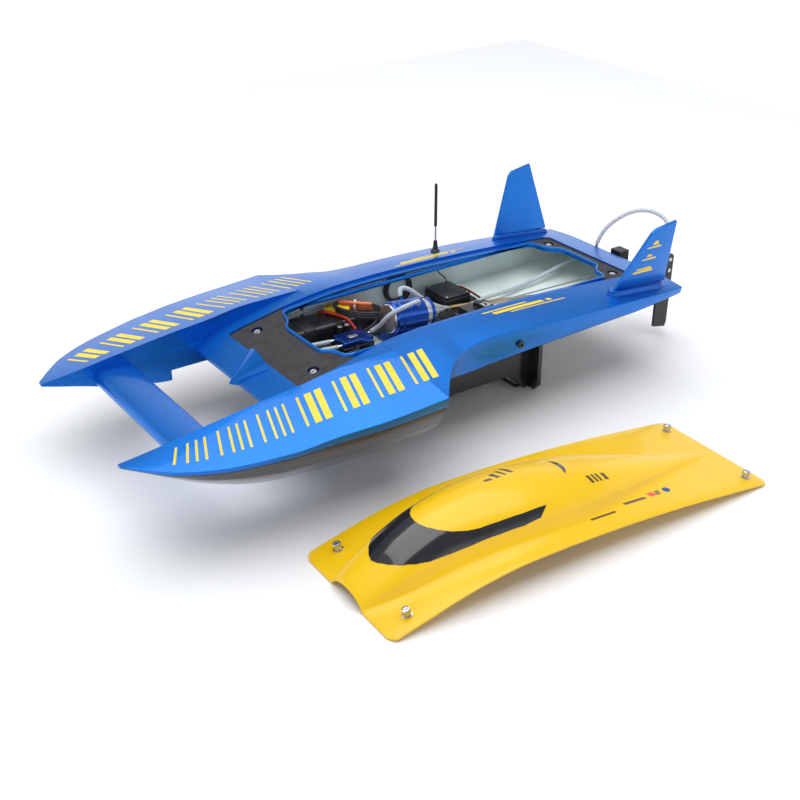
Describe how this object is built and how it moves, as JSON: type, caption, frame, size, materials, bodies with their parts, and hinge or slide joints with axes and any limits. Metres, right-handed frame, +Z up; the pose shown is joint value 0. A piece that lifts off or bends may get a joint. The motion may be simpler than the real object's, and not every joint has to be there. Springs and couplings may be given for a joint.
{
  "type": "radio controlled racing boat",
  "caption": "Radio-controlled electric racing hydroplane on a display stand, with its lift-off cowl beside it, steering rudder, propeller and water-cooled motor.",
  "frame": {"origin": "on the surface that the stand rests on, on the hull's centreline, midway along the hull", "axes": "+X to the bow, +Y to port, +Z up"},
  "size_m": [0.8415, 0.601, 0.2245],
  "materials": {
    "deck_blue": "metal-flake blue gelcoat, polished",
    "bottom_dark": "dark gelcoat, polished",
    "cowl_yellow": "yellow paint, polished, over a glass-fibre shell",
    "stand_black": "black acrylic sheet, polished",
    "foam_black": "closed-cell foam",
    "gasket_black": "matte foam rubber sheet",
    "fitting_black": "anodised or moulded black, satin",
    "tray_black": "moulded, satin",
    "case_black": "moulded plastic case, semi-gloss",
    "receiver_grey": "moulded plastic case",
    "steel": "turned stainless steel",
    "aluminium": "machined, clear anodised",
    "jacket_blue": "machined, blue anodised",
    "brass": "drawn tube and turned bushes",
    "winding": "laminated steel and enamelled wire",
    "silicone_clear": "translucent silicone hose",
    "boot_rubber": "moulded rubber",
    "wire_black": "silicone wire insulation",
    "wire_red": "silicone wire insulation and heat-shrink",
    "prop_metal": "cast and polished",
    "battery_black": "shrink film, satin"
  },
  "bodies": {
    "stand": {"stand_cradles": "stand_black", "stand_rails": "stand_black", "stand_base": "stand_black", "stand_pads": "foam_black"},
    "hull": {"hull_bottom": "bottom_dark", "hull_deck": "deck_blue", "nose_cone": "deck_blue", "front_wing": "deck_blue", "tail_fins": "deck_blue", "fin_feet": "deck_blue", "turn_fin": "aluminium", "hatch_coaming": "deck_blue", "hatch_gasket": "gasket_black", "hatch_inserts": "steel", "hull_fittings": "fitting_black", "pushrod_boot": "boot_rubber", "antenna_base": "fitting_black", "antenna_whip": "fitting_black", "antenna_coax": "wire_black", "receiver": "receiver_grey", "servo_lead": "wire_black", "steering_servo": "case_black", "rudder_bracket": "fitting_black", "motor_can": "aluminium", "motor_stator": "winding", "motor_bearings": "steel", "motor_mount": "jacket_blue", "water_jacket": "jacket_blue", "flex_shaft": "steel", "stuffing_tube": "brass", "strut": "aluminium", "strut_bracket": "fitting_black", "strut_bolts": "steel", "strut_bushings": "brass", "speed_controller": "case_black", "esc_capacitors": "case_black", "battery_packs": "battery_black", "battery_leads": "wire_red", "power_leads": "wire_black", "bullet_connectors": "wire_red", "equipment_trays": "tray_black", "pickup_hose": "silicone_clear", "cooling_hoses": "silicone_clear"},
    "cowl": {"cowl": "cowl_yellow"},
    "screw_front_port": {"cowl_screw_front_port": "steel"},
    "screw_front_starboard": {"cowl_screw_front_starboard": "steel"},
    "screw_rear_port": {"cowl_screw_rear_port": "steel"},
    "screw_rear_starboard": {"cowl_screw_rear_starboard": "steel"},
    "motor_rotor": {"motor_rotor": "steel", "motor_shaft": "steel", "shaft_coupler": "steel"},
    "propeller": {"stub_shaft": "steel", "drive_dog": "steel", "propeller": "prop_metal", "propeller_nut": "steel"},
    "rudder": {"rudder_blade": "fitting_black", "rudder_pin": "steel", "rudder_tiller": "fitting_black"},
    "pushrod": {"pushrod": "steel"},
    "servo_horn": {"servo_horn": "fitting_black"}
  },
  "joints": [
    {"name": "hull_lift", "type": "slide", "parent": "stand", "child": "hull", "axis": [0, 0, 1], "range_m": [0, 0.15]},
    {"name": "cowl_lift", "type": "slide", "parent": "stand", "child": "cowl", "axis": [0, 0, 1], "range_m": [0, 0.25]},
    {"name": "rudder_turn", "type": "hinge", "parent": "hull", "child": "rudder", "pos_m": [-0.432, 0.045, 0.092], "axis": [0, 0, 1], "range_deg": [-30, 30]},
    {"name": "servo_horn_turn", "type": "hinge", "parent": "hull", "child": "servo_horn", "pos_m": [-0.14, 0.012, 0.1086], "axis": [0, 0, 1], "range_deg": [-30.5, 30.5]},
    {"name": "pushrod_slide", "type": "slide", "parent": "hull", "child": "pushrod", "axis": [-0.9996, 0, -0.0291], "range_m": [-0.009, 0.009]},
    {"name": "motor_spin", "type": "hinge", "parent": "hull", "child": "motor_rotor", "pos_m": [-0.045, -0.008, 0.109], "axis": [-0.9945, 0, -0.1045], "continuous": true},
    {"name": "propeller_spin", "type": "hinge", "parent": "hull", "child": "propeller", "pos_m": [-0.3845, 0, 0.0655], "axis": [-0.9976, 0, -0.0698], "continuous": true},
    {"name": "screw_front_port_turn", "type": "hinge", "parent": "cowl", "child": "screw_front_port", "pos_m": [0.21618, 0.36213, 0.00969], "axis": [0.2514, -0.0084, 0.9678], "continuous": true},
    {"name": "screw_front_starboard_turn", "type": "hinge", "parent": "cowl", "child": "screw_front_starboard", "pos_m": [0.21198, 0.2362, 0.00969], "axis": [0.2514, -0.0084, 0.9678], "continuous": true},
    {"name": "screw_rear_port_turn", "type": "hinge", "parent": "cowl", "child": "screw_rear_port", "pos_m": [-0.23561, 0.3762, 0.0049], "axis": [-0.1398, 0.0047, 0.9902], "continuous": true},
    {"name": "screw_rear_starboard_turn", "type": "hinge", "parent": "cowl", "child": "screw_rear_starboard", "pos_m": [-0.23974, 0.25227, 0.0049], "axis": [-0.1398, 0.0047, 0.9902], "continuous": true}
  ],
  "couplings": [
    {"joint": "servo_horn_turn", "follows": "rudder_turn", "ratio": -1},
    {"joint": "pushrod_slide", "follows": "rudder_turn", "m_per_rad": -0.0165},
    {"joint": "propeller_spin", "follows": "motor_spin", "ratio": 1}
  ]
}
